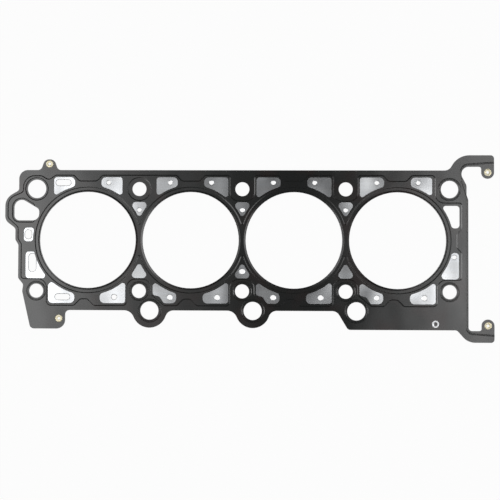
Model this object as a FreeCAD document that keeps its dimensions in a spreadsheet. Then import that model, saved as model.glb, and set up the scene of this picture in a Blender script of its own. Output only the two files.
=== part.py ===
import FreeCAD, Part
import Sketcher
import math
import os

# Multi-layer steel cylinder head gasket for an in-line bank of four cylinders.
# Three sheets lie on each other: two embossed, coated outer layers and a flat
# bare middle layer. Four eyelets hold them together. Millimetres, +Z up, with
# the origin on the first cylinder's axis at the underside of the gasket.

# Shares and small margins of the pressing
LAND_SLOPE = 1.6
RIDGE_CROWN = 0.15
JOINED_RIM = 0.1
DOWEL_RIM = 1.4
BOLT_RIM = 3.8
ROLLED_SHARE = 0.4

DRIVING_SIZES = [
    ("bore_radius", 46.7),
    ("web", 6.6),
    ("bore_count", 4),
    ("window_land", 6.8),
    ("top_margin", 21.2),
    ("bottom_margin", 21.5),
    ("skirt_depth", 18.0),
    ("bolt_row_offset", 2.8),
    ("bolt_hole_radius", 6.8),
    ("left_dowel_radius", 9.0),
    ("right_dowel_radius", 8.4),
    ("oil_hole_radius", 8.8),
    ("oil_hole_shift", 10.35),
    ("oil_hole_drop", 18.85),
    ("oil_lobe_wall", 7.8),
    ("window_rim", 6.9),
    ("nose_gap", 12.8),
    ("collar_gap", 6.8),
    ("dowel_collar_gap", 9.8),
    ("end_margin", 18.0),
    ("arm_reach", 42.8),
    ("upper_arm_rise", 14.8),
    ("lower_arm_drop", 11.8),
    ("arm_width", 11.2),
    ("sheet_thickness", 0.25),
    ("middle_thickness", 0.4),
    ("bead_height", 0.25),
    ("bead_slope", 1.2),
    ("bead_edge", 4.4),
    ("bore_bead_land", 0.15),
    ("bore_bead_floor", 1.95),
    ("bead_ridge", 0.85),
    ("collar_bead_gap", 2.0),
    ("port_bead_gap", 1.1),
    ("top_metering_radius", 2.0),
    ("bottom_metering_radius", 2.5),
    ("metering_gap", 20.0),
    ("slot_length", 14.6),
    ("slot_width", 5.8),
    ("eyelet_head_radius", 3.55),
    ("eyelet_barrel_radius", 2.4),
    ("eyelet_wall", 1.05),
    ("eyelet_head_height", 0.22),
    ("marker_radius", 3.4),
    ("marker_pin_radius", 1.6),
]


class Term:
    """A length together with the sheet formula that it comes from."""

    def __init__(self, value, text):
        self.value = value
        self.text = text

    def __add__(self, other):
        return Term(self.value + number(other), "(%s + %s)" % (self.text, formula(other)))

    def __radd__(self, other):
        return Term(number(other) + self.value, "(%s + %s)" % (formula(other), self.text))

    def __sub__(self, other):
        return Term(self.value - number(other), "(%s - %s)" % (self.text, formula(other)))

    def __rsub__(self, other):
        return Term(number(other) - self.value, "(%s - %s)" % (formula(other), self.text))

    def __mul__(self, other):
        return Term(self.value * number(other), "(%s * %s)" % (self.text, formula(other)))

    def __rmul__(self, other):
        return Term(number(other) * self.value, "(%s * %s)" % (formula(other), self.text))

    def __neg__(self):
        return Term(-self.value, "(0 - %s)" % self.text)


def number(term):
    return term.value if isinstance(term, Term) else float(term)


def formula(term):
    return term.text if isinstance(term, Term) else repr(float(term))


class SheetSizes:
    """Gives each driving size as a term, by its name."""

    def __init__(self, sheet):
        self.sheet = sheet

    def __getattr__(self, alias):
        return Term(float(self.sheet.get(alias)), "Sizes.%s" % alias)


doc = FreeCAD.newDocument("head_gasket")
sheet = doc.addObject("Spreadsheet::Sheet", "Sizes")
for row, (alias, value) in enumerate(DRIVING_SIZES, start=1):
    sheet.set("A%d" % row, alias.replace("_", " "))
    sheet.set("B%d" % row, repr(value))
    sheet.setAlias("B%d" % row, alias)
doc.recompute()
size = SheetSizes(sheet)

# Places that every layer shares
bores = int(number(size.bore_count))
pitch = 2 * size.bore_radius + size.web
bolt_row = size.bore_radius + size.bolt_row_offset
top_edge = size.bore_radius + size.top_margin
bottom_edge = -(size.bore_radius + size.bottom_margin)
skirt_edge = bottom_edge - size.skirt_depth
oil_row = -(bolt_row + size.oil_hole_drop)
bore_x = [pitch * i for i in range(bores)]
bolt_x = [pitch * (i - 0.5) for i in range(bores + 1)]
left_bolt = number(bolt_x[0])
right_bolt = number(bolt_x[-1])
oil_x = [bolt_x[i] + size.oil_hole_shift for i in range(1, bores)]
right_side = right_bolt + number(size.end_margin)
arm_end = right_bolt + number(size.arm_reach)
arm_top = number(top_edge) + number(size.upper_arm_rise)
arm_bottom = number(skirt_edge) - number(size.lower_arm_drop)
window_top = number(top_edge - size.window_rim)
window_bottom = number(bottom_edge) + number(size.window_rim)
land_radius = number(size.bore_radius + size.window_land)

# Heights of the sheets' faces
lower_seat = size.bead_height + size.sheet_thickness
upper_seat = lower_seat + size.middle_thickness
stack_height = upper_seat + size.bead_height + size.sheet_thickness

# The bore bead is a trough between the edge land and the window field
land_end = size.bore_radius + size.bore_bead_land
trough_start = land_end + size.bead_slope * LAND_SLOPE
trough_end = trough_start + size.bore_bead_floor

# A sloping side's back lies this far inside its front, so the sheet keeps its thickness
bead_skew = 0.05

EAR_RADIUS = 5.6
ARM_EAR_RADIUS = 6.15
eyelet_spots = {
    "top_left_eyelet": (left_bolt + 12.1, number(top_edge) + 6.0),
    "top_right_eyelet": (arm_end - ARM_EAR_RADIUS, number(top_edge) - 1.8),
    "bottom_left_eyelet": (left_bolt + 22.3, number(skirt_edge) + 9.9),
    "bottom_right_eyelet": (arm_end - ARM_EAR_RADIUS, number(skirt_edge) + 4.4),
}
marker_spot = (right_bolt - 13.6, number(skirt_edge) + 5.8)


# Flat geometry: closed loops of straight and round sides with rounded corners

def unit(vector):
    return vector * (1.0 / vector.Length)


def left_of(direction):
    return FreeCAD.Vector(-direction.y, direction.x, 0)


class Side:
    """One side of a loop, straight or round about a centre."""

    def __init__(self, start, end, centre=None, turn=0):
        self.start = start
        self.centre = centre
        self.turn = turn
        if centre is None:
            self.direction = unit(end - start)
        else:
            self.radius = (start - centre).Length

    def heading(self, point):
        if self.centre is None:
            return self.direction
        return left_of(unit(point - self.centre)) * self.turn

    def shifted_radius(self, shift):
        return self.radius - self.turn * shift

    def foot(self, point):
        """The place on this side that is nearest to a point."""
        if self.centre is None:
            along = (point - self.start).dot(self.direction)
            return self.start + self.direction * along
        return self.centre + unit(point - self.centre) * self.radius


def meeting_points(first, second, shift):
    """Where two sides cross when both move left by the shift."""
    if first.centre is None and second.centre is None:
        one = first.start + left_of(first.direction) * shift
        two = second.start + left_of(second.direction) * shift
        scale = first.direction.cross(second.direction).z
        along = (two - one).cross(second.direction).z / scale
        return [one + first.direction * along]
    if first.centre is not None and second.centre is not None:
        apart = second.centre - first.centre
        reach = apart.Length
        near = first.shifted_radius(shift)
        far = second.shifted_radius(shift)
        along = (near ** 2 - far ** 2 + reach ** 2) / (2 * reach)
        across = math.sqrt(max(near ** 2 - along ** 2, 0.0))
        axis = unit(apart)
        foot = first.centre + axis * along
        return [foot + left_of(axis) * across, foot - left_of(axis) * across]
    line, arc = (first, second) if first.centre is None else (second, first)
    start = line.start + left_of(line.direction) * shift
    along = (arc.centre - start).dot(line.direction)
    foot = start + line.direction * along
    gap = (arc.centre - foot).Length
    half = math.sqrt(max(arc.shifted_radius(shift) ** 2 - gap ** 2, 0.0))
    return [foot + line.direction * half, foot - line.direction * half]


class Loop:
    """A closed loop, anticlockwise: corners are (x, y, rounding) or, where the
    side that leaves the corner is round, (x, y, rounding, (centre x, centre y, turn))."""

    def __init__(self, corners):
        points = [FreeCAD.Vector(c[0], c[1], 0) for c in corners]
        count = len(points)
        self.sides = []
        for i, corner in enumerate(corners):
            following = points[(i + 1) % count]
            if len(corner) > 3:
                centre = FreeCAD.Vector(corner[3][0], corner[3][1], 0)
                self.sides.append(Side(points[i], following, centre, corner[3][2]))
            else:
                self.sides.append(Side(points[i], following))
        self.corners = []
        for i, corner in enumerate(corners):
            before = self.sides[i - 1]
            after = self.sides[i]
            bend = before.heading(points[i]).cross(after.heading(points[i])).z
            turn = 1 if bend > 0 else -1
            rounding = corner[2]
            middles = meeting_points(before, after, turn * rounding)
            middle = min(middles, key=lambda spot: (spot - points[i]).Length)
            self.corners.append((middle, rounding, turn, before.foot(middle), after.foot(middle)))

    def edges(self, inset=0.0):
        """The loop's curves, moved inwards by the inset."""
        arrivals = []
        departures = []
        curves = []
        for middle, rounding, turn, arrive, leave in self.corners:
            scale = (rounding - turn * inset) / rounding
            arrivals.append(middle + (arrive - middle) * scale)
            departures.append(middle + (leave - middle) * scale)
        for i, (middle, rounding, turn, arrive, leave) in enumerate(self.corners):
            crown = unit((arrive - middle) + (leave - middle)) * (rounding - turn * inset)
            curves.append(Part.Arc(arrivals[i], middle + crown, departures[i]))
            side = self.sides[i]
            end = arrivals[(i + 1) % len(self.corners)]
            if side.centre is None:
                curves.append(Part.LineSegment(departures[i], end))
            else:
                radius = side.shifted_radius(inset)
                half_way = unit(unit(departures[i] - side.centre) + unit(end - side.centre))
                if side.turn * (departures[i] - side.centre).cross(end - side.centre).z < 0:
                    half_way = half_way * -1
                curves.append(Part.Arc(departures[i], side.centre + half_way * radius, end))
        return curves


class Ring:
    """A full circle that can be used in place of a loop."""

    def __init__(self, x, y, radius):
        self.centre = FreeCAD.Vector(x, y, 0)
        self.radius = radius

    def edges(self, inset=0.0):
        return [Part.Circle(self.centre, FreeCAD.Vector(0, 0, 1), self.radius - inset)]


def circle_height(radius, offset):
    return math.sqrt(radius ** 2 - offset ** 2)


def outline_loop():
    """The outer edge of every layer."""
    top = number(top_edge)
    bottom = number(bottom_edge)
    skirt = number(skirt_edge)
    oil_y = number(oil_row)
    lobe = number(size.oil_hole_radius + size.oil_lobe_wall)
    last_oil = number(oil_x[-1])
    width = number(size.arm_width)
    ear_x, ear_y = eyelet_spots["top_left_eyelet"]
    upper_ear = eyelet_spots["top_right_eyelet"][1]
    lower_ear = eyelet_spots["bottom_right_eyelet"][1]
    arm_inner = arm_end - 2 * ARM_EAR_RADIUS

    corners = [(arm_end, arm_top, 3.3)]
    corners.append((right_bolt + 7.0, arm_top, 19.0))
    corners.append((right_bolt + 0.1, top, 8.0))
    corners.append((ear_x + EAR_RADIUS + 2.6, top, 4.5))
    corners.append((ear_x + EAR_RADIUS - 1.0, ear_y + 4.4, EAR_RADIUS))
    corners.append((ear_x - EAR_RADIUS + 1.0, ear_y + 4.4, EAR_RADIUS))
    corners.append((ear_x - EAR_RADIUS - 2.6, top, 4.5))
    corners.append((left_bolt - 17.5, top, 8.5))
    corners.append((left_bolt - 17.5, top - 19.7, 3.5))
    corners.append((left_bolt - 30.9, top - 27.6, 13.0))
    corners.append((left_bolt - 30.9, top - 49.1, 8.5))
    corners.append((left_bolt - 20.8, top - 56.8, 4.0))
    corners.append((left_bolt - 20.8, 0.0, 3.0))
    corners.append((left_bolt - 17.8, -4.9, 3.0))
    corners.append((left_bolt - 17.8, bottom + 31.0, 3.0))
    corners.append((left_bolt - 12.8, bottom + 24.9, 3.0))
    corners.append((left_bolt - 13.7, bottom + 18.2, 5.0))
    corners.append((left_bolt - 5.4, skirt, 4.5))
    corners.append((left_bolt + 28.4, skirt, 8.5))
    corners.append((left_bolt + 28.4, bottom, 4.3))
    for x in [number(place) for place in oil_x[:-1]]:
        reach = circle_height(lobe, bottom - oil_y)
        corners.append((x - reach, bottom, 10.0, (x, oil_y, 1)))
        corners.append((x + reach, bottom, 8.0))
    corners.append((last_oil - 18.8, bottom, 8.0))
    corners.append((last_oil - 8.0, skirt, 4.0))
    corners.append((right_bolt + 6.9, skirt, 4.0))
    corners.append((right_bolt + 17.5, arm_bottom, 15.0))
    corners.append((arm_end, arm_bottom, 3.3))
    corners.append((arm_end, lower_ear + ARM_EAR_RADIUS, ARM_EAR_RADIUS - 0.02))
    corners.append((arm_inner, lower_ear + ARM_EAR_RADIUS, ARM_EAR_RADIUS - 0.02))
    corners.append((arm_inner, arm_bottom + width, 2.2))
    corners.append((right_side, arm_bottom + width, 3.5))
    corners.append((right_side, top - 28.4, 3.0))
    corners.append((right_side - 1.7, top - 23.7, 5.0))
    corners.append((right_side - 1.6, top - 14.4, 6.0))
    corners.append((right_side - 11.1, arm_top - width, 7.0))
    corners.append((arm_inner, arm_top - width, 2.2))
    corners.append((arm_inner, upper_ear - ARM_EAR_RADIUS, ARM_EAR_RADIUS - 0.02))
    corners.append((arm_end, upper_ear - ARM_EAR_RADIUS, ARM_EAR_RADIUS - 0.02))
    return Loop(corners)


def field_loop():
    """The half bead that encloses the coolant passages and the cylinders."""
    top = number(top_edge) - number(size.bead_edge)
    bottom = number(bottom_edge) + number(size.bead_edge) - 0.4
    top_dip = top - 5.7
    bottom_dip = bottom + 6.4
    bolt_y = number(bolt_row)
    collar = number(size.bolt_hole_radius) + 4.6
    over_bolt = bolt_y - collar + 0.4
    start = left_bolt - 15.5
    right = right_side - 5.8
    dowel = number(size.right_dowel_radius) + 4.8

    corners = [(start, -over_bolt, 3.5)]
    corners.append((left_bolt + 9.4, -over_bolt, 8.0))
    corners.append((left_bolt + 9.4, bottom, 5.0))
    for i, x in enumerate(number(place) for place in bore_x):
        corners.append((x - 13.0, bottom, 3.5))
        corners.append((x - 6.6, bottom_dip, 3.5))
        corners.append((x - 0.4, bottom_dip, 3.5))
        corners.append((x + 6.0, bottom, 3.5))
        bolt = number(bolt_x[i + 1])
        corners.append((bolt - collar, bottom, 4.5))
        corners.append((bolt - collar, -over_bolt, 8.0))
        if i < bores - 1:
            corners.append((bolt + collar - 0.4, -over_bolt, 8.0))
            corners.append((bolt + collar - 0.4, -bolt_y - 3.3, 4.0))
            corners.append((bolt + 24.5, bottom, 3.5))
    corners.append((right, -over_bolt, 3.0))
    corners.append((right, -12.0, 3.5))
    corners.append((right - 4.6, -6.5, 3.5))
    corners.append((right - 4.6, 5.5, 3.5))
    corners.append((right, 11.5, 3.5))
    corners.append((right, bolt_y - 12.5, 3.0))
    corners.append((right_bolt - dowel, bolt_y - 12.5, 8.0))
    corners.append((right_bolt - dowel, top, 4.0))
    for i in range(bores - 1, -1, -1):
        x = number(bore_x[i])
        corners.append((x + 13.6, top, 3.5))
        corners.append((x + 8.3, top_dip, 3.5))
        corners.append((x - 8.3, top_dip, 3.5))
        corners.append((x - 13.6, top, 3.5))
        if i > 1:
            bolt = number(bolt_x[i])
            corners.append((bolt + collar, top, 3.5))
            corners.append((bolt + collar, over_bolt, 8.0))
            corners.append((bolt - collar, over_bolt, 8.0))
            corners.append((bolt - collar, top, 3.5))
    corners.append((left_bolt + 18.2, top, 4.0))
    corners.append((left_bolt + 11.4, top - 4.6, 3.5))
    corners.append((left_bolt + 4.7, top - 0.6, 7.5))
    corners.append((left_bolt - 13.7, top - 0.6, 11.5))
    corners.append((left_bolt - 13.8, top - 16.6, 3.5))
    corners.append((left_bolt - 28.7, top - 23.0, 11.0))
    corners.append((left_bolt - 28.7, top - 42.6, 5.5))
    corners.append((left_bolt - 18.7, top - 51.3, 4.0))
    corners.append((left_bolt - 18.7, 1.0, 3.0))
    corners.append((start, -4.2, 3.0))
    return Loop(corners)


def bore_rims():
    """The rims of the bore beads: one chain where narrow webs join them."""
    radius = number(trough_end)
    half = number(pitch) / 2
    if half - radius > number(size.bead_slope) + JOINED_RIM:
        return [Ring(number(x), 0.0, radius) for x in bore_x]
    waist = circle_height(max(radius, half + JOINED_RIM), half)
    corners = []
    for x in [number(place) for place in bore_x[:-1]]:
        corners.append((x + half, -waist, 2.0, (x + 2 * half, 0, 1)))
    for x in [number(place) for place in reversed(bore_x[:-1])]:
        corners.append((x + half, waist, 2.0, (x, 0, 1)))
    return [Loop(corners)]


def port_loop():
    """The large passage at the left end."""
    top = number(top_edge)
    return Loop([
        (left_bolt - 22.0, top - 49.1, 5.0),
        (left_bolt + 2.4, top - 49.1, 6.5),
        (left_bolt + 2.4, top - 38.1, 4.5),
        (left_bolt - 22.0, top - 23.8, 7.2),
    ])


def port_rim_loop():
    """The half bead round that passage: it runs out where the bore's bead comes near."""
    top = number(top_edge)
    gap = number(size.port_bead_gap)
    lean = 14.3 / 24.4
    lift = gap * math.hypot(1.0, lean)
    left = left_bolt - 22.0 - gap
    right = left_bolt - 3.0
    return Loop([
        (left, top - 49.1 - gap, 5.0 + gap),
        (right, top - 49.1 - gap, 1.5),
        (right, top - 38.1 + lean * 5.4 + lift, 1.5),
        (left, top - 38.1 + lean * (24.4 + gap) + lift, 7.2 + gap),
    ])


def row_window(bore, left, right, level, rounding, step=None):
    """A window above or below a bore, with its inner side round the bore's land."""
    low_left = circle_height(land_radius, left - bore)
    low_right = circle_height(land_radius, right - bore)
    about = (bore, 0, -1)
    tip_left, tip_right, far_right, far_left = rounding
    if level > 0:
        return Loop([
            (left, low_left, tip_left, about),
            (right, low_right, tip_right),
            (right, level, far_right),
            (left, level, far_left),
        ])
    corners = [(left, level, far_left)]
    if step is not None:
        corners = [(left, level + 8.1, far_left)]
        corners.append((left + step - 4.2, level + 6.5, 4.0))
        corners.append((left + step, level, 2.5))
    corners.append((right, level, far_right))
    corners.append((right, -low_right, tip_right, about))
    corners.append((left, -low_left, tip_left))
    return Loop(corners)


def end_window(bore, outer, low, high, rounding):
    """A window beside an end bore: its outer side is straight."""
    sign = 1 if outer > bore else -1
    low_x = bore + sign * circle_height(land_radius, low)
    high_x = bore + sign * circle_height(land_radius, high)
    about = (bore, 0, -1)
    low_in, low_out, high_out, high_in = rounding
    if sign > 0:
        return Loop([
            (low_x, low, low_in),
            (outer, low, low_out),
            (outer, high, high_out),
            (high_x, high, high_in, about),
        ])
    return Loop([
        (outer, low, low_out),
        (low_x, low, low_in, about),
        (high_x, high, high_in),
        (outer, high, high_out),
    ])


def web_window(bolt, sign):
    """The three-sided window between two bores and the bolt hole above or below."""
    half = number(pitch) / 2
    side = land_radius + 0.4
    base = number(bolt_row) - number(size.bolt_hole_radius) - 5.8
    spread = half - circle_height(side, base)
    tip = circle_height(side, half)
    return Loop([
        (bolt, sign * tip, 2.5, (bolt + sign * half, 0, -1)),
        (bolt + sign * spread, sign * base, 3.4),
        (bolt - sign * spread, sign * base, 3.4, (bolt - sign * half, 0, -1)),
    ])


def obround(x, y, length, width, upright=False):
    """A slot with round ends."""
    across, along = (width, length) if upright else (length, width)
    rounding = width / 2 - 0.02
    return Loop([
        (x - across / 2, y - along / 2, rounding),
        (x + across / 2, y - along / 2, rounding),
        (x + across / 2, y + along / 2, rounding),
        (x - across / 2, y + along / 2, rounding),
    ])


def clear_windows():
    """The passages that go straight through all the layers."""
    last_bore = number(bore_x[-1])
    outer = right_side - 8.4
    return [port_loop(), end_window(last_bore, outer, 12.0, 33.7, (3.2, 3.4, 3.0, 2.4))]


def coolant_windows():
    """The windows of the outer layers that the middle layer meters."""
    loops = []
    nose = number(size.nose_gap)
    near = number(size.bolt_hole_radius + size.collar_gap)
    far = number(size.bolt_hole_radius + size.dowel_collar_gap)
    last = bores - 1
    for i, x in enumerate(number(place) for place in bore_x):
        left = number(bolt_x[i])
        right = number(bolt_x[i + 1])
        top_left = left + (far if i < 2 else near)
        top_right = right - (far if i in (0, last) else near)
        loops.append(row_window(x, top_left, x - nose, window_top, (2.4, 4.0, 4.6, 2.8)))
        loops.append(row_window(x, x + nose, top_right, window_top, (4.0, 2.4, 2.8, 4.6)))
        if i == 0:
            loops.append(row_window(x, left + 11.5, x - nose, window_bottom, (3.4, 4.0, 4.6, 4.0)))
        else:
            loops.append(row_window(x, left + near - 0.3, x - nose - 1.0, window_bottom,
                                    (2.8, 3.6, 4.6, 2.8), step=10.9))
        loops.append(row_window(x, x + nose - 1.0, right - near + 0.3, window_bottom,
                                (4.0, 2.4, 2.8, 4.6)))
    first_bore = number(bore_x[0])
    last_bore = number(bore_x[-1])
    loops.append(end_window(first_bore, left_bolt - 12.6, -1.5, 11.7, (2.6, 3.2, 3.2, 2.6)))
    loops.append(end_window(first_bore, left_bolt - 10.7, -37.4, -11.6, (2.6, 3.0, 3.0, 1.4)))
    loops.append(end_window(last_bore, right_side - 9.0, -37.3, -11.8, (3.4, 3.2, 3.3, 3.0)))
    for i in range(1, bores):
        loops.append(web_window(number(bolt_x[i]), 1))
        loops.append(web_window(number(bolt_x[i]), -1))
    return loops


def metering_openings():
    """The small holes and slots of the middle layer inside those windows."""
    loops = []
    upper_row = window_top - 5.3
    lower_row = window_bottom + 5.9
    gap = number(size.metering_gap)
    small = number(size.top_metering_radius)
    large = number(size.bottom_metering_radius)
    length = number(size.slot_length)
    width = number(size.slot_width)
    for i, x in enumerate(number(place) for place in bore_x):
        if i == 0:
            loops.append(obround(x - gap - 4.2, upper_row, length, width))
            loops.append(obround(x - gap - 4.6, lower_row, length, width))
        else:
            loops.append(Ring(x - gap, upper_row, small))
            loops.append(Ring(x - gap, lower_row, large))
        loops.append(Ring(x + gap, upper_row, small))
        loops.append(Ring(x + gap + 5.9, lower_row, large))
    for i in range(1, bores):
        loops.append(Ring(number(bolt_x[i]), number(bolt_row) - 20.4, small))
    middle_bolt = number(bolt_x[bores // 2])
    loops.append(Ring(middle_bolt, 19.2 - number(bolt_row), large))
    loops.append(obround(left_bolt - 8.1, 5.3, 9.0, 6.7, upright=True))
    loops.append(obround(left_bolt - 4.0, -22.3, 17.9, 7.2, upright=True))
    loops.append(Ring(right_bolt + 4.6, -16.0, small))
    return loops


def rail_loop():
    """The long bead inside the right edge; it closes beyond the arms' ends."""
    beyond = arm_end + 10.0
    rail = right_side - 1.7
    return Loop([
        (rail, arm_bottom + 8.7, 6.0),
        (beyond, arm_bottom + 6.0, 2.0),
        (beyond, arm_top - 6.4, 2.0),
        (rail - 5.3, arm_top - 9.4, 7.0),
        (rail - 5.3, number(top_edge) - 10.4, 6.0),
        (rail, number(top_edge) - 27.9, 6.0),
    ])


# Features of a body

def origin_plane(body, role):
    for feature in body.Origin.OriginFeatures:
        if feature.Role == role:
            return feature
    raise ValueError("no %s in %s" % (role, body.Label))


def flat_sketch(body, name, height, loops, inset=0.0):
    """A sketch at a height. Loops after the first one grow outwards with the inset."""
    sketch = body.newObject("Sketcher::SketchObject", name)
    sketch.AttachmentSupport = [(origin_plane(body, "XY_Plane"), "")]
    sketch.MapMode = "FlatFace"
    sketch.setExpression("AttachmentOffset.Base.z", formula(height))
    for index, loop in enumerate(loops):
        shift = inset if index == 0 else -inset
        sketch.addGeometry(loop.edges(shift), False)
    return sketch


def bind_circles(sketch, holes):
    """Adds circles whose places and radii follow the sheet."""
    for x, y, radius in holes:
        spot = FreeCAD.Vector(number(x), number(y), 0)
        circle = Part.Circle(spot, FreeCAD.Vector(0, 0, 1), number(radius))
        index = sketch.addGeometry(circle, False)
        bound = [("DistanceX", (-1, 1, index, 3), x)]
        bound.append(("DistanceY", (-1, 1, index, 3), y))
        bound.append(("Radius", (index,), radius))
        for kind, places, term in bound:
            rule = sketch.addConstraint(Sketcher.Constraint(kind, *places, number(term)))
            sketch.setExpression("Constraints[%d]" % rule, formula(term))


def pad(body, name, sketch, length):
    feature = body.newObject("PartDesign::Pad", name)
    feature.Profile = sketch
    feature.setExpression("Length", formula(length))
    doc.recompute()
    return feature


def pocket_through(body, name, sketch):
    feature = body.newObject("PartDesign::Pocket", name)
    feature.Profile = sketch
    feature.Refine = False
    feature.Type = "ThroughAll"
    feature.Midplane = True
    doc.recompute()
    return feature


def loft(body, name, kind, lower, upper):
    feature = body.newObject("PartDesign::%sLoft" % kind, name)
    feature.Profile = lower
    feature.Sections = [upper]
    feature.Ruled = True
    feature.Refine = False
    doc.recompute()
    return feature


def embossed_step(body, name, seat, loops, slope):
    """Lifts the area between loops off the seat, with sloping sides and one thickness."""
    face = seat + size.sheet_thickness
    rise = size.bead_height
    foot = flat_sketch(body, name + "_foot", face, loops)
    crest = flat_sketch(body, name + "_crest", face + rise, loops, slope)
    loft(body, name, "Additive", foot, crest)
    under = flat_sketch(body, name + "_under", seat, loops, bead_skew)
    hollow = flat_sketch(body, name + "_hollow", seat + rise, loops, slope + bead_skew)
    loft(body, name + "_back", "Subtractive", under, hollow)


def embossed_ridge(body, name, seat, loop):
    """A narrow bead that follows a loop, hollow behind."""
    face = seat + size.sheet_thickness
    rise = size.bead_height
    half = number(size.bead_ridge)
    crown = half * RIDGE_CROWN
    layout = [("foot", face, half), ("crest", face + rise, crown)]
    layout += [("under", seat, half - bead_skew), ("hollow", seat + rise, crown - bead_skew)]
    drawn = []
    for label, height, width in layout:
        sketch = flat_sketch(body, "%s_%s" % (name, label), height, [])
        sketch.addGeometry(loop.edges(-width), False)
        sketch.addGeometry(loop.edges(width), False)
        drawn.append(sketch)
    front = loft(body, name, "Additive", drawn[0], drawn[1])
    back = loft(body, name + "_back", "Subtractive", drawn[2], drawn[3])
    return [front, back]


def repeat(body, name, features, count):
    """Repeats features along the row of bores."""
    pattern = body.newObject("PartDesign::LinearPattern", name)
    pattern.Originals = features
    pattern.Refine = False
    pattern.Direction = (origin_plane(body, "X_Axis"), [""])
    pattern.setExpression("Length", formula(pitch * (count - 1)))
    pattern.Occurrences = count
    body.Tip = pattern
    doc.recompute()
    return pattern


def bore_land(body, seat):
    """The raised edge land round each bore, inside the bead's trough."""
    layout = [("edge_land", "Additive", seat + size.sheet_thickness, 0.0)]
    layout.append(("edge_land_back", "Subtractive", seat, bead_skew))
    features = []
    for name, kind, base, skew in layout:
        cone = body.newObject("PartDesign::%sCone" % kind, name)
        cone.setExpression("Radius1", formula(trough_start - skew))
        cone.setExpression("Radius2", formula(land_end - skew))
        cone.setExpression("Height", formula(size.bead_height))
        cone.AttachmentSupport = [(origin_plane(body, "XY_Plane"), "")]
        cone.MapMode = "FlatFace"
        cone.setExpression("AttachmentOffset.Base.z", formula(base))
        doc.recompute()
        features.append(cone)
    repeat(body, "edge_lands", features, bores)


def round_holes():
    """The bores and the round holes that all the layers share."""
    holes = [(x, 0.0, size.bore_radius) for x in bore_x]
    holes.append((bolt_x[0], bolt_row, size.left_dowel_radius))
    holes.append((bolt_x[-1], bolt_row, size.right_dowel_radius))
    holes += [(x, bolt_row, size.bolt_hole_radius) for x in bolt_x[1:-1]]
    holes += [(x, -bolt_row, size.bolt_hole_radius) for x in bolt_x]
    holes += [(x, oil_row, size.oil_hole_radius) for x in oil_x]
    holes += [(x, y, size.eyelet_barrel_radius) for x, y in eyelet_spots.values()]
    return holes


def blank_loop(reach):
    """A rectangle that stands out past the outer edge by the reach."""
    left = left_bolt - 30.8 - reach
    right = arm_end + reach
    low = arm_bottom - reach
    high = arm_top + reach
    return Loop([(left, low, 1.0), (right, low, 1.0), (right, high, 1.0), (left, high, 1.0)])


def outer_layer(label, seat):
    """An embossed sheet that bulges up from its seat, with its last feature."""
    body = doc.addObject("PartDesign::Body", label)
    body.Label = label
    blank = flat_sketch(body, "blank_outline", seat, [blank_loop(20.0)])
    pad(body, "blank", blank, size.sheet_thickness)

    slope = number(size.bead_slope)
    bolt_y = number(bolt_row)
    islands = bore_rims() + [
        Ring(left_bolt, bolt_y, number(size.left_dowel_radius) + DOWEL_RIM),
        Ring(number(bolt_x[1]), bolt_y, number(size.bolt_hole_radius) + BOLT_RIM),
        port_rim_loop(),
    ]
    embossed_step(body, "window_field", seat, [field_loop()] + islands, slope)
    bore_land(body, seat)

    collar = number(size.bolt_hole_radius + size.collar_bead_gap)
    parts = embossed_ridge(body, "bolt_bead", seat, Ring(left_bolt, -bolt_y, collar))
    repeat(body, "bolt_beads", parts, bores + 1)
    collar = number(size.oil_hole_radius + size.collar_bead_gap)
    first_oil = Ring(number(oil_x[0]), number(oil_row), collar)
    parts = embossed_ridge(body, "oil_bead", seat, first_oil)
    repeat(body, "oil_beads", parts, bores - 1)
    collar = number(size.right_dowel_radius + size.collar_bead_gap)
    embossed_ridge(body, "dowel_bead", seat, Ring(right_bolt, bolt_y, collar))
    embossed_ridge(body, "rail_bead", seat, rail_loop())

    cuts = [blank_loop(30.0), outline_loop()] + clear_windows() + coolant_windows()
    pocket_through(body, "edge_and_windows", flat_sketch(body, "window_outlines", seat, cuts))
    circles = flat_sketch(body, "hole_circles", seat, [])
    bind_circles(circles, round_holes())
    return body, pocket_through(body, "round_holes", circles)


def middle_layer(label, seat):
    """The flat sheet between them, which meters the coolant."""
    body = doc.addObject("PartDesign::Body", label)
    body.Label = label
    loops = [outline_loop()] + clear_windows() + metering_openings()
    pad(body, "plate", flat_sketch(body, "plate_outline", seat, loops), size.middle_thickness)
    circles = flat_sketch(body, "hole_circles", seat, [])
    bind_circles(circles, round_holes() + [marker_spot + (size.marker_pin_radius,)])
    pocket_through(body, "round_holes", circles)
    return body


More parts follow.
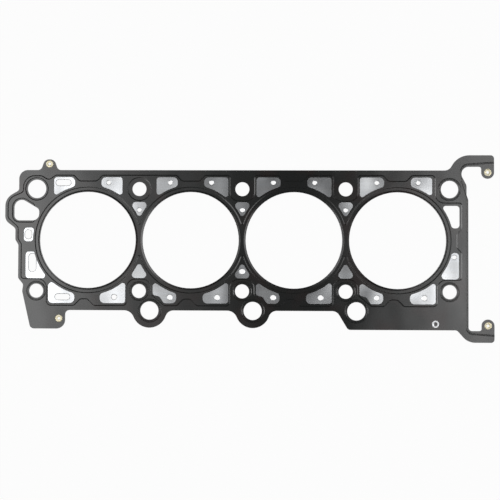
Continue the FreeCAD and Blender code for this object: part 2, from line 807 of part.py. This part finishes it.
def eyelet(label, x, y):
    """A hollow rivet: a barrel through the three layers with a head on each side."""
    low = size.bead_height - size.eyelet_head_height
    high = upper_seat + size.sheet_thickness
    pieces = [
        ("barrel", size.eyelet_barrel_radius, low, high + size.eyelet_head_height - low),
        ("lower_head", size.eyelet_head_radius, low, size.eyelet_head_height),
        ("upper_head", size.eyelet_head_radius, high, size.eyelet_head_height),
    ]
    shapes = []
    for name, radius, base, height in pieces:
        cylinder = doc.addObject("Part::Cylinder", "%s_%s" % (label, name))
        cylinder.setExpression("Radius", formula(radius))
        cylinder.setExpression("Height", formula(height))
        cylinder.setExpression("Placement.Base.z", formula(base))
        shapes.append(cylinder)
    blank = doc.addObject("Part::MultiFuse", label + "_blank")
    blank.Shapes = shapes
    core = doc.addObject("Part::Cylinder", label + "_core")
    core.setExpression("Radius", formula(size.eyelet_barrel_radius - size.eyelet_wall))
    core.setExpression("Height", formula(stack_height))
    tube = doc.addObject("Part::Cut", label + "_tube")
    tube.Base = blank
    tube.Tool = core
    doc.recompute()
    rolled = doc.addObject("Part::Fillet", label)
    rolled.Base = tube
    rolling = number(size.eyelet_head_height) * ROLLED_SHARE
    ends = (number(low), number(high + size.eyelet_head_height))
    edges = []
    for index, edge in enumerate(tube.Shape.Edges, start=1):
        box = edge.BoundBox
        if box.ZLength < 1e-6 and min(abs(box.ZMin - end) for end in ends) < 1e-6:
            edges.append((index, rolling, rolling))
    rolled.Edges = edges
    rolled.Label = label
    rolled.Placement = FreeCAD.Placement(FreeCAD.Vector(x, y, 0), FreeCAD.Rotation())
    doc.recompute()
    return rolled


upper_layer, pressed_sheet = outer_layer("upper_layer", upper_seat)
lower_layer = doc.addObject("Part::Mirroring", "lower_layer")
lower_layer.Label = "lower_layer"
lower_layer.Source = pressed_sheet
lower_layer.Normal = FreeCAD.Vector(0, 0, 1)
lower_layer.setExpression("Base.z", formula(lower_seat + size.middle_thickness * 0.5))
marker = flat_sketch(upper_layer, "marker_circle", upper_seat, [])
bind_circles(marker, [marker_spot + (size.marker_radius,)])
pocket_through(upper_layer, "marker_hole", marker)
sub_parts = [lower_layer, middle_layer("middle_layer", lower_seat), upper_layer]
for name, (x, y) in eyelet_spots.items():
    sub_parts.append(eyelet(name, x, y))
doc.recompute()

for item in doc.Objects:
    if "Invalid" in item.State or "Error" in item.State:
        raise RuntimeError("%s failed: %s" % (item.Label, item.State))
for part in sub_parts:
    if part.Shape.isNull() or not part.Shape.isValid():
        raise RuntimeError("%s has no sound shape" % part.Label)

os.makedirs("parts", exist_ok=True)
for part in sub_parts:
    part.Shape.exportStep(os.path.join("parts", part.Label + ".step"))
    box = part.Shape.BoundBox
    print(part.Label, len(part.Shape.Solids), round(part.Shape.Volume, 1),
          round(box.XLength, 2), round(box.YLength, 2), round(box.ZMin, 3), round(box.ZMax, 3))
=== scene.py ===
"""Looks of the cylinder head gasket: three steel sheets held together by four eyelets."""
import math

import bmesh
import bpy
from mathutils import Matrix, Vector


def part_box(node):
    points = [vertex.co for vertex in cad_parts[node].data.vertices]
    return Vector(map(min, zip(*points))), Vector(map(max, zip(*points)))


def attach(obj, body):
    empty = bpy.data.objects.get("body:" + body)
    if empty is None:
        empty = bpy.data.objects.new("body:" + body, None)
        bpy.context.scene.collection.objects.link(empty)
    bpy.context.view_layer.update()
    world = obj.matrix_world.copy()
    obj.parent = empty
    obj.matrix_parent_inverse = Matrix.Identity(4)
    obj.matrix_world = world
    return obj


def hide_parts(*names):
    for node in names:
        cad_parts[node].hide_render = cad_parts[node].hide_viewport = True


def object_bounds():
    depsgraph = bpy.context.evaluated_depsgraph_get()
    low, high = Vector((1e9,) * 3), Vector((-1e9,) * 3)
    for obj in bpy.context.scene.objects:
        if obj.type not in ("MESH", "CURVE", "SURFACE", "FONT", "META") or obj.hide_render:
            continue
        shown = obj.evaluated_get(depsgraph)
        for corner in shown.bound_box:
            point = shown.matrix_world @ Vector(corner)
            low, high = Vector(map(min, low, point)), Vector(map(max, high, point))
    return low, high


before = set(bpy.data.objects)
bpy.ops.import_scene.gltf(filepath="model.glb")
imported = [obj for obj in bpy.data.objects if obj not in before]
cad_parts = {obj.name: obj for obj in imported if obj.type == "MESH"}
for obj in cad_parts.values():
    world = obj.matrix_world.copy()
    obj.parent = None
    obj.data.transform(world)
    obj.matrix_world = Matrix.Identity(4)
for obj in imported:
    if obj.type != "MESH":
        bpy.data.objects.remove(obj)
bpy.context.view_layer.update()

MM = 0.001
# Vertices that are nearer to each other than this are one
WELD = 0.002 * MM


# Shader nodes

class Value:
    """A socket that can be used in arithmetic."""

    def __init__(self, finish, socket):
        self.finish = finish
        self.socket = socket

    def math(self, operation, *terms):
        node = self.finish.node("Math", {"operation": operation}, dict(enumerate(terms)))
        return Value(self.finish, node.outputs[0])

    def __add__(self, other):
        return self.math("ADD", self, other)

    def __sub__(self, other):
        return self.math("SUBTRACT", self, other)

    def __rsub__(self, other):
        return self.math("SUBTRACT", other, self)

    def __mul__(self, other):
        return self.math("MULTIPLY", self, other)

    def clamped(self):
        return self.math("MINIMUM", self.math("MAXIMUM", self, 0.0), 1.0)


class Finish:
    """A node tree for a material or the world."""

    def __init__(self, holder):
        self.holder = holder
        holder.use_nodes = True
        self.tree = holder.node_tree
        self.tree.nodes.clear()

    def node(self, kind, settings=None, inputs=None):
        node = self.tree.nodes.new("ShaderNode" + kind)
        for name, setting in (settings or {}).items():
            if name == "stops":
                self.set_stops(node.color_ramp, setting)
            else:
                setattr(node, name, setting)
        for key, given in (inputs or {}).items():
            socket = node.inputs[key]
            source = given.socket if isinstance(given, Value) else given
            if isinstance(source, bpy.types.NodeSocket):
                self.tree.links.new(source, socket)
            else:
                socket.default_value = source
        return node

    def set_stops(self, ramp, stops):
        while len(ramp.elements) > 1:
            ramp.elements.remove(ramp.elements[-1])
        place, colour = stops[0]
        ramp.elements[0].position = place
        ramp.elements[0].color = colour + (1.0,)
        for place, colour in stops[1:]:
            ramp.elements.new(place).color = colour + (1.0,)

    def value(self, kind, settings=None, inputs=None, output=0):
        return Value(self, self.node(kind, settings, inputs).outputs[output])

    def noise(self, place, scale, detail, roughness, dimensions="3D"):
        return self.value("TexNoise", {"noise_dimensions": dimensions},
                          {"Vector": place, "Scale": scale, "Detail": detail,
                           "Roughness": roughness})

    def blend(self, amount, first, second):
        settings = {"data_type": "RGBA", "blend_type": "MIX"}
        inputs = {"Factor": amount, 6: first, 7: second}
        return Value(self, self.node("Mix", settings, inputs).outputs[2])

    def close(self, kind, shader):
        output = self.node("Output" + kind)
        self.tree.links.new(shader.outputs[0], output.inputs["Surface"])
        return self.holder


def new_material(name):
    return Finish(bpy.data.materials.new(name))


def coated_steel(name):
    """Thin satin rubber coating on spring steel, nearly black, slightly stained."""
    finish = new_material(name)
    place = finish.value("TexCoord", output="Object")
    cloud = finish.noise(place, 14.0, 3.0, 0.55)
    stain = finish.noise(place, 33.0, 2.0, 0.5)
    grain = finish.noise(place, 2600.0, 2.0, 0.6)
    tone = finish.blend(cloud, (0.011, 0.0135, 0.0130, 1.0), (0.020, 0.0200, 0.0195, 1.0))
    warm = ((stain - 0.50) * 5.0).clamped()
    colour = finish.blend(warm, tone, (0.026, 0.018, 0.017, 1.0))
    swell = sheet_waves(finish, place, 30.0, 0.0004)
    bump = finish.node("Bump", None, {"Strength": 0.06, "Distance": 0.00002, "Height": grain,
                                      "Normal": swell})
    shader = finish.node("BsdfPrincipled", None, {
        "Base Color": colour,
        "Metallic": 0.0,
        "Roughness": cloud * 0.06 + 0.15,
        "IOR": 1.7,
        "Normal": bump.outputs[0],
    })
    return finish.close("Material", shader)


def sheet_waves(finish, place, scale, depth):
    """The normal of a thin sheet that isn't quite flat."""
    waves = finish.noise(place, scale, 1.0, 0.4)
    return finish.value("Bump", None, {"Strength": 1.0, "Distance": depth, "Height": waves})


# Where the middle sheet's waves start in the noise
WAVES_FROM = (0.30, 0.10, 0.0)


def rolled_steel(name):
    """Bare stainless sheet with faint rolling marks along the sheet."""
    finish = new_material(name)
    place = finish.value("TexCoord", output="Object")
    along = finish.node("Mapping", None, {"Vector": place, "Scale": (9.0, 500.0, 1.0)})
    marks = finish.noise(along.outputs[0], 1.0, 2.0, 0.5, "2D")
    cloud = finish.noise(place, 45.0, 2.0, 0.5)
    colour = finish.blend(marks, (0.67, 0.675, 0.68, 1.0), (0.71, 0.735, 0.765, 1.0))
    moved = finish.node("Mapping", None, {"Vector": place, "Location": WAVES_FROM})
    swell = sheet_waves(finish, moved.outputs[0], 24.0, 0.0018)
    bump = finish.node("Bump", None, {"Strength": 0.08, "Distance": 0.00002, "Height": marks,
                                      "Normal": swell})
    shader = finish.node("BsdfPrincipled", None, {
        "Base Color": colour,
        "Metallic": 1.0,
        "Roughness": cloud * 0.12 + 0.19,
        "Normal": bump.outputs[0],
    })
    return finish.close("Material", shader)


def pale_brass(name):
    """Bright pale gold of the eyelets, duller and darker in small stains."""
    finish = new_material(name)
    place = finish.value("TexCoord", output="Object")
    cloud = finish.noise(place, 700.0, 2.0, 0.5)
    colour = finish.blend(((cloud - 0.35) * 3.0).clamped(),
                          (0.96, 0.85, 0.56, 1.0), (1.00, 0.97, 0.78, 1.0))
    bump = finish.node("Bump", None, {"Strength": 0.1, "Distance": 0.00003, "Height": cloud})
    shader = finish.node("BsdfPrincipled", None, {
        "Base Color": colour,
        "Metallic": 1.0,
        "Roughness": cloud * 0.12 + 0.34,
        "Normal": bump.outputs[0],
    })
    return finish.close("Material", shader)


# Pressed sheets: the sloping sides of the beads get a rounded profile

# Heights of an outer layer's flats above the gasket's underside
UPPER_LEVELS = [0.9 * MM, 1.15 * MM, 1.4 * MM]
LOWER_LEVELS = [0.0, 0.25 * MM, 0.5 * MM]
# The slope between two flats is cut into this many rows
BEAD_ROWS = 5
# How far each row moves towards a fully rounded slope, from 0 to 1
BEAD_EASE = 0.6
# The upward part of a face's normal: cut walls are below the first, flats above the second
WALL_TILT = 0.3
FLAT_TILT = 0.999
# Vertices this near to a cutting plane count as on it
CUT_REACH = 1e-8
# Vertices this near to a level lie on a flat
LEVEL_REACH = 0.004 * MM


def rounded_height(height, levels):
    """The height after each bead's slope between two levels is eased at both ends."""
    for low, high in zip(levels, levels[1:]):
        if low < height < high:
            part = (height - low) / (high - low)
            eased = part * part * (3 - 2 * part)
            return low + (high - low) * (part + (eased - part) * BEAD_EASE)
    return height


def pressed_sheet(node, levels, material):
    """A finer copy of an outer layer, with rounded beads."""
    mesh = bpy.data.meshes.new(node + "_pressed")
    build = bmesh.new()
    build.from_mesh(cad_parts[node].data)
    bmesh.ops.remove_doubles(build, verts=build.verts, dist=WELD)
    for low, high in zip(levels, levels[1:]):
        for row in range(1, BEAD_ROWS):
            cut = low + (high - low) * row / BEAD_ROWS
            slopes = [face for face in build.faces
                      if WALL_TILT < abs(face.normal.z) < FLAT_TILT
                      and min(vert.co.z for vert in face.verts) < cut
                      and cut < max(vert.co.z for vert in face.verts)]
            edges = {edge for face in slopes for edge in face.edges}
            verts = {vert for face in slopes for vert in face.verts}
            bmesh.ops.bisect_plane(build, geom=slopes + list(edges) + list(verts),
                                   dist=CUT_REACH, plane_co=(0, 0, cut), plane_no=(0, 0, 1))
            build.normal_update()
    for vert in build.verts:
        vert.co.z = rounded_height(vert.co.z, levels)
    build.normal_update()
    build.to_mesh(mesh)
    build.free()
    ease_normals(mesh, levels)
    sheet = bpy.data.objects.new(node + "_pressed", mesh)
    bpy.context.scene.collection.objects.link(sheet)
    mesh.materials.clear()
    mesh.materials.append(material)
    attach(sheet, "root")
    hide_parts(node)


def ease_normals(mesh, levels):
    """Keeps flat areas flat, the beads smooth and the cut edges crisp."""
    turned = [Vector() for vert in mesh.vertices]
    for face in mesh.polygons:
        if abs(face.normal.z) > WALL_TILT:
            side = 1 if face.normal.z > 0 else -1
            for index in face.vertices:
                turned[index] += face.normal * side * face.area
    normals = []
    for face in mesh.polygons:
        face.use_smooth = True
        side = 1 if face.normal.z > 0 else -1
        for index in face.vertices:
            height = mesh.vertices[index].co.z
            if abs(face.normal.z) <= WALL_TILT:
                normals.append(face.normal)
            elif min(abs(height - level) for level in levels) < LEVEL_REACH:
                normals.append(Vector((0, 0, side)))
            else:
                normals.append(turned[index].normalized() * side)
    mesh.normals_split_custom_set(normals)


# The middle sheet: the punch draws its upper edges down a little

PUNCH_WIDTH = 0.45 * MM
PUNCH_DEPTH = 0.10 * MM
# The upward part of a face's normal: the top is above the first, walls are below the second
TOP_TILT = 0.9
UPRIGHT_TILT = 0.1
# Vertices this near to the top lie on it
TOP_REACH = 0.01 * MM


def punched_sheet(node, material):
    """A copy of the flat sheet with the drawn edges that punching leaves."""
    build = bmesh.new()
    build.from_mesh(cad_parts[node].data)
    bmesh.ops.remove_doubles(build, verts=build.verts, dist=WELD)
    build.normal_update()
    tops = [face for face in build.faces if face.normal.z > TOP_TILT]
    bmesh.ops.inset_region(build, faces=tops, thickness=PUNCH_WIDTH, use_boundary=True,
                           use_even_offset=True)
    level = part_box(node)[1][2]
    for vert in build.verts:
        beside_wall = any(abs(face.normal.z) < UPRIGHT_TILT for face in vert.link_faces)
        if beside_wall and level - vert.co.z < TOP_REACH:
            vert.co.z -= PUNCH_DEPTH
    build.normal_update()
    mesh = bpy.data.meshes.new(node + "_punched")
    build.to_mesh(mesh)
    build.free()
    mesh.materials.clear()
    mesh.materials.append(material)
    plate = bpy.data.objects.new(node + "_punched", mesh)
    bpy.context.scene.collection.objects.link(plate)
    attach(plate, "root")
    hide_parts(node)


# Eyelets: a lathe profile of radius and height above the middle of the stack
EYELET_TURNS = 64
EYELET_PROFILE = [
    (1.35, 0.30), (1.40, 0.44), (1.55, 0.565), (1.75, 0.625), (2.05, 0.655), (2.45, 0.67),
    (2.85, 0.665), (3.15, 0.64), (3.38, 0.59), (3.50, 0.52), (3.55, 0.47), (3.53, 0.45),
    (2.42, 0.45), (2.40, 0.40),
]


def rolled_eyelet(node, material):
    """A hollow rivet whose ends are rolled over into domed heads."""
    low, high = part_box(node)
    centre = [(low[axis] + high[axis]) / 2 for axis in range(3)]
    above = [(radius * MM, height * MM) for radius, height in EYELET_PROFILE]
    profile = above + [(radius, -height) for radius, height in reversed(above)]
    build = bmesh.new()
    rings = []
    for radius, height in profile:
        ring = []
        for step in range(EYELET_TURNS):
            angle = 2 * math.pi * step / EYELET_TURNS
            ring.append(build.verts.new((centre[0] + radius * math.cos(angle),
                                         centre[1] + radius * math.sin(angle),
                                         centre[2] + height)))
        rings.append(ring)
    for inner, outer in zip(rings, rings[1:] + rings[:1]):
        for step in range(EYELET_TURNS):
            after = (step + 1) % EYELET_TURNS
            build.faces.new((inner[step], inner[after], outer[after], outer[step]))
    bmesh.ops.recalc_face_normals(build, faces=build.faces)
    mesh = bpy.data.meshes.new(node + "_rolled")
    build.to_mesh(mesh)
    build.free()
    mesh.shade_smooth()
    mesh.materials.append(material)
    rivet = bpy.data.objects.new(node + "_rolled", mesh)
    bpy.context.scene.collection.objects.link(rivet)
    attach(rivet, "root")
    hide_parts(node)


# The studio

TABLE_SIZE = 6.0
TABLE_CENTRE = (0.157, 0.0)
# The table lies this far below the part
TABLE_DROP = 0.00005
# Share of the table's own glow; the rest is matt, so a faint shadow stays
GLOW_SHARE = 0.95


def white_floor():
    """A white table top: white to the camera and in reflections, with a faint shadow."""
    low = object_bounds()[0][2]
    bpy.ops.mesh.primitive_plane_add(size=TABLE_SIZE,
                                     location=TABLE_CENTRE + (low - TABLE_DROP,))
    floor = bpy.context.object
    floor.name = "table_top"
    finish = new_material("white_table")
    rays = finish.node("LightPath")
    seen = Value(finish, rays.outputs["Is Camera Ray"])
    seen = seen + Value(finish, rays.outputs["Is Glossy Ray"])
    seen = seen + Value(finish, rays.outputs["Is Transmission Ray"])
    matt = finish.node("BsdfDiffuse", None, {"Color": (0.92, 0.92, 0.92, 1.0)})
    glow = finish.node("Emission", None, {"Color": (1.0, 1.0, 1.0, 1.0), "Strength": 1.0})
    mixed = finish.node("MixShader", None, {0: seen.clamped() * GLOW_SHARE, 1: matt.outputs[0],
                                            2: glow.outputs[0]})
    floor.data.materials.append(finish.close("Material", mixed))


# Strip lamps side by side under the ceiling, with a dark gap over the camera:
# the left and right edge of each in metres, and its brightness
STRIPS = [
    (-0.85, -0.43, 2.7), (-0.43, -0.34, 1.90), (-0.34, -0.24, 1.10), (-0.24, -0.12, 0.72),
    (-0.12, 0.04, 0.40), (0.04, 0.12, 0.18), (0.42, 0.52, 0.45), (0.52, 0.62, 1.00),
    (0.62, 0.70, 1.50), (0.70, 0.86, 2.90), (1.38, 1.95, 5.0),
]
STRIP_LENGTH = 0.84
CEILING = 1.6
# Brightness of the tent round the table against height: from the table up to overhead
TENT = [(0.0, 0.35), (0.20, 0.60), (0.36, 1.4), (0.44, 1.4), (0.52, 0.05), (1.0, 0.02)]
# A ramp's colours end at one, so brightness goes through it as a share of this
BRIGHTEST = 2.5


def white_tent():
    """A white tent, open overhead, and white where the camera looks past the table."""
    world = bpy.data.worlds.new("tent")
    bpy.context.scene.world = world
    finish = Finish(world)
    look = finish.value("TexCoord", output="Generated")
    up = Value(finish, finish.node("SeparateXYZ", None, {0: look}).outputs["Z"])
    stops = [(height, (level / BRIGHTEST,) * 3) for height, level in TENT]
    light = finish.value("ValToRGB", {"stops": stops}, {0: up}) * BRIGHTEST
    seen = Value(finish, finish.node("LightPath").outputs["Is Camera Ray"])
    shader = finish.node("Background", None, {
        "Color": (1.0, 1.0, 1.0, 1.0),
        "Strength": light + (1.0 - light) * seen,
    })
    finish.close("World", shader)


def strip_lamps():
    """The softboxes' gradient, as strips that face straight down."""
    for number, (left, right, brightness) in enumerate(STRIPS):
        lamp = bpy.data.lights.new("strip_%d" % number, "AREA")
        lamp.shape = "RECTANGLE"
        lamp.size = right - left
        lamp.size_y = STRIP_LENGTH
        lamp.energy = brightness * math.pi * lamp.size * lamp.size_y
        strip = bpy.data.objects.new("strip_%d" % number, lamp)
        strip.location = ((left + right) / 2, 0.0, CEILING)
        bpy.context.scene.collection.objects.link(strip)


# The camera that the photo was matched with: millimetres, then metres, then radians
SENSOR_WIDTH = 36.0
FOCAL_LENGTH = 66.914
CAMERA_PLACE = (0.17603, -0.03125, 0.9)
CAMERA_TURN = (0.02432, 0.02042, 0.00345)


def camera():
    lens = bpy.data.cameras.new("camera")
    lens.sensor_width = SENSOR_WIDTH
    lens.lens = FOCAL_LENGTH
    eye = bpy.data.objects.new("camera", lens)
    eye.location = CAMERA_PLACE
    eye.rotation_euler = CAMERA_TURN
    bpy.context.scene.collection.objects.link(eye)
    bpy.context.scene.camera = eye


upper_coating = coated_steel("upper_coating")
lower_coating = coated_steel("lower_coating")
middle_steel = rolled_steel("middle_steel")
eyelet_metal = pale_brass("eyelet_metal")

pressed_sheet("upper_layer", UPPER_LEVELS, upper_coating)
pressed_sheet("lower_layer", LOWER_LEVELS, lower_coating)
punched_sheet("middle_layer", middle_steel)
finishes = {"upper_layer": upper_coating, "lower_layer": lower_coating,
            "middle_layer": middle_steel}
for name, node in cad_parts.items():
    node.data.materials.clear()
    node.data.materials.append(finishes.get(name, eyelet_metal))
    if name.endswith("eyelet"):
        rolled_eyelet(name, eyelet_metal)

white_floor()
white_tent()
strip_lamps()
camera()

scene = bpy.context.scene
scene.view_settings.view_transform = "Standard"
